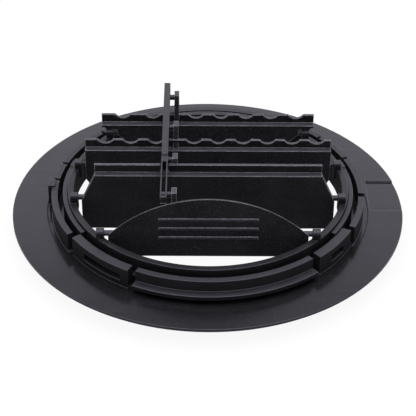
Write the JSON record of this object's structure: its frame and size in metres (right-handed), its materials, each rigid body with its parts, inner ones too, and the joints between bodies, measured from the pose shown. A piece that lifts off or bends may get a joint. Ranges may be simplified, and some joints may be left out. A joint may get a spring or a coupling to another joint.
{
  "type": "round louvred air vent",
  "caption": "Round snap-in air vent with a turning ring and linked louvres that swing open and shut together.",
  "frame": {"origin": "centre of the bezel at its front face", "axes": "+Z along the duct, from the bezel's front face to the rear; +X along the louvres' pivots"},
  "size_m": [0.12, 0.12, 0.0269],
  "materials": {
    "housing_plastic": "satin black",
    "rotor_plastic": "satin black",
    "louvre_plastic": "fine grained black",
    "link_plastic": "satin black"
  },
  "bodies": {
    "housing": {"bezel_housing": "housing_plastic", "retaining_ring": "housing_plastic"},
    "rotor": {"rotor_ring": "rotor_plastic"},
    "finger_blade": {"finger_louvre": "louvre_plastic"},
    "second_blade": {"second_louvre": "louvre_plastic"},
    "third_blade": {"third_louvre": "louvre_plastic"},
    "rear_blade": {"rear_louvre": "louvre_plastic"},
    "link": {"link_bar": "link_plastic"}
  },
  "joints": [
    {"name": "rotor_spin", "type": "hinge", "parent": "housing", "child": "rotor", "pos_m": [0, 0, 0.0083], "axis": [0, 0, 1], "continuous": true},
    {"name": "finger_swing", "type": "hinge", "parent": "rotor", "child": "finger_blade", "pos_m": [0, -0.0273, 0.0143], "axis": [1, 0, 0], "range_deg": [0, 88]},
    {"name": "second_swing", "type": "hinge", "parent": "rotor", "child": "second_blade", "pos_m": [0, -0.0091, 0.0143], "axis": [1, 0, 0], "range_deg": [0, 88]},
    {"name": "third_swing", "type": "hinge", "parent": "rotor", "child": "third_blade", "pos_m": [0, 0.0091, 0.0143], "axis": [1, 0, 0], "range_deg": [0, 88]},
    {"name": "rear_swing", "type": "hinge", "parent": "rotor", "child": "rear_blade", "pos_m": [0, 0.0273, 0.0143], "axis": [1, 0, 0], "range_deg": [0, 88]},
    {"name": "link_pivot", "type": "hinge", "parent": "finger_blade", "child": "link", "pos_m": [-0.01305, -0.0229, 0.0249], "axis": [1, 0, 0], "range_deg": [-88, 0]}
  ],
  "couplings": [
    {"joint": "second_swing", "follows": "finger_swing", "ratio": 1},
    {"joint": "third_swing", "follows": "finger_swing", "ratio": 1},
    {"joint": "rear_swing", "follows": "finger_swing", "ratio": 1},
    {"joint": "link_pivot", "follows": "finger_swing", "ratio": -1}
  ]
}
